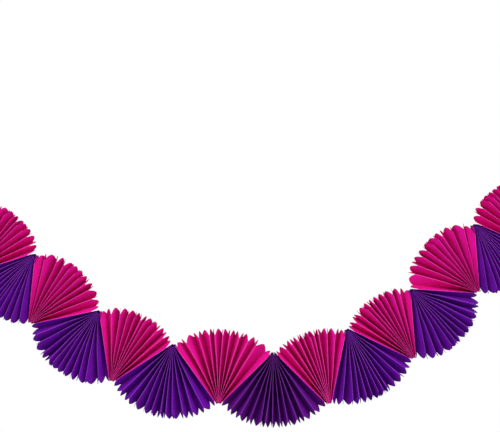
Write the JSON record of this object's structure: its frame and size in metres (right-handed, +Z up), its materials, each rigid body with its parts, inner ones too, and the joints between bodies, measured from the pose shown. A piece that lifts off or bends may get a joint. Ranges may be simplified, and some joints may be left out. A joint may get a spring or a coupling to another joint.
{
  "type": "paper fan garland",
  "caption": "Hanging garland of pleated paper fans that open up and down in turn, glued side by side in a drooping swag, with a holed card leaf at each end.",
  "frame": {"origin": "middle of the hanging hole in the left end card, half way through the card", "axes": "+X along the swag from the left end to the right end, +Y from the face of the fans to their back, +Z up as it hangs"},
  "size_m": [1.194, 0.0908, 0.4561],
  "materials": {
    "violet_paper": "matte dyed paper with a fine fibre grain",
    "pink_paper": "matte dyed paper with a fine fibre grain",
    "end_card": "matte dyed card"
  },
  "bodies": {
    "root": {"violet_fan_1": "violet_paper", "pink_fan_1": "pink_paper", "violet_fan_2": "violet_paper", "pink_fan_2": "pink_paper", "violet_fan_3": "violet_paper", "pink_fan_3": "pink_paper", "violet_fan_4": "violet_paper", "pink_fan_4": "pink_paper", "violet_fan_5": "violet_paper", "pink_fan_5": "pink_paper", "violet_fan_6": "violet_paper", "pink_fan_6": "pink_paper", "violet_fan_7": "violet_paper", "pink_fan_7": "pink_paper", "violet_fan_8": "violet_paper", "pink_fan_8": "pink_paper", "violet_fan_9": "violet_paper", "end_card_left": "end_card", "end_card_right": "end_card"}
  },
  "joints": []
}
